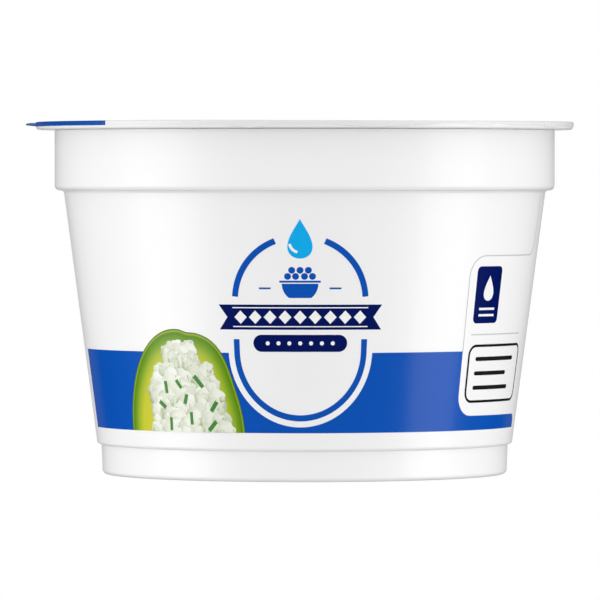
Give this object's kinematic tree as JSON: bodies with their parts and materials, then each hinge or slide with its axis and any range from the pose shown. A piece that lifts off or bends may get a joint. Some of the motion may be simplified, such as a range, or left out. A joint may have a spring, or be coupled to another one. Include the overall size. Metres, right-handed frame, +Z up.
{
  "type": "cottage cheese tub",
  "caption": "Round white plastic dairy tub of cottage cheese, shut with a sealed film lid that has a pull tab.",
  "frame": {"origin": "on the tub's axis, in the plane of the base ring that it stands on", "axes": "+Z up along the tub's axis; the printed front faces -Y; +X is to the right of someone who looks at the front"},
  "size_m": [0.0982, 0.0958, 0.0623],
  "materials": {
    "tub": "satin moulded polypropylene with a printed in-mould label",
    "lid": "printed heat-sealed film"
  },
  "bodies": {
    "root": {"tub": "tub", "lid": "lid"}
  },
  "joints": []
}
